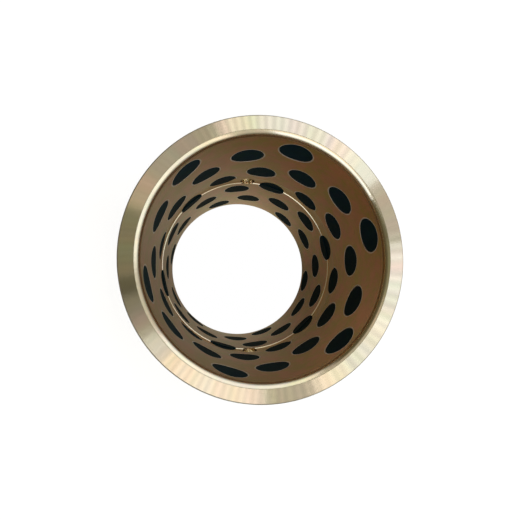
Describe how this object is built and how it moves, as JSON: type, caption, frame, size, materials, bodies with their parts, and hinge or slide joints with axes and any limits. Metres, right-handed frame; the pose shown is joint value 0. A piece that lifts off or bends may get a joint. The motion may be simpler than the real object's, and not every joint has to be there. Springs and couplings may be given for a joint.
{
  "type": "graphite plugged bushing",
  "caption": "Straight bronze sleeve bearing with rows of flush round graphite plugs through its wall, a grease groove round the bore and opposed oil holes.",
  "frame": {"origin": "centre of the bottom end face, on the bore's axis", "axes": "+Z along the bore from the bottom face to the top face; the oil holes open along +Y and -Y"},
  "size_m": [0.105, 0.105, 0.12],
  "materials": {
    "bronze": "satin",
    "graphite": "matte"
  },
  "bodies": {
    "root": {"sleeve": "bronze", "plugs_row01_pair1": "graphite", "plugs_row01_pair2": "graphite", "plugs_row01_pair3": "graphite", "plugs_row02_pair1": "graphite", "plugs_row02_pair2": "graphite", "plugs_row02_pair3": "graphite", "plugs_row03_pair1": "graphite", "plugs_row03_pair2": "graphite", "plugs_row03_pair3": "graphite", "plugs_row04_pair1": "graphite", "plugs_row04_pair2": "graphite", "plugs_row04_pair3": "graphite", "plugs_row05_pair1": "graphite", "plugs_row05_pair2": "graphite", "plugs_row05_pair3": "graphite", "plugs_row06_pair1": "graphite", "plugs_row06_pair2": "graphite", "plugs_row06_pair3": "graphite", "plugs_row07_pair1": "graphite", "plugs_row07_pair2": "graphite", "plugs_row07_pair3": "graphite", "plugs_row08_pair1": "graphite", "plugs_row08_pair2": "graphite", "plugs_row08_pair3": "graphite", "plugs_row09_pair1": "graphite", "plugs_row09_pair2": "graphite", "plugs_row09_pair3": "graphite", "plugs_row10_pair1": "graphite", "plugs_row10_pair2": "graphite", "plugs_row10_pair3": "graphite"}
  },
  "joints": []
}
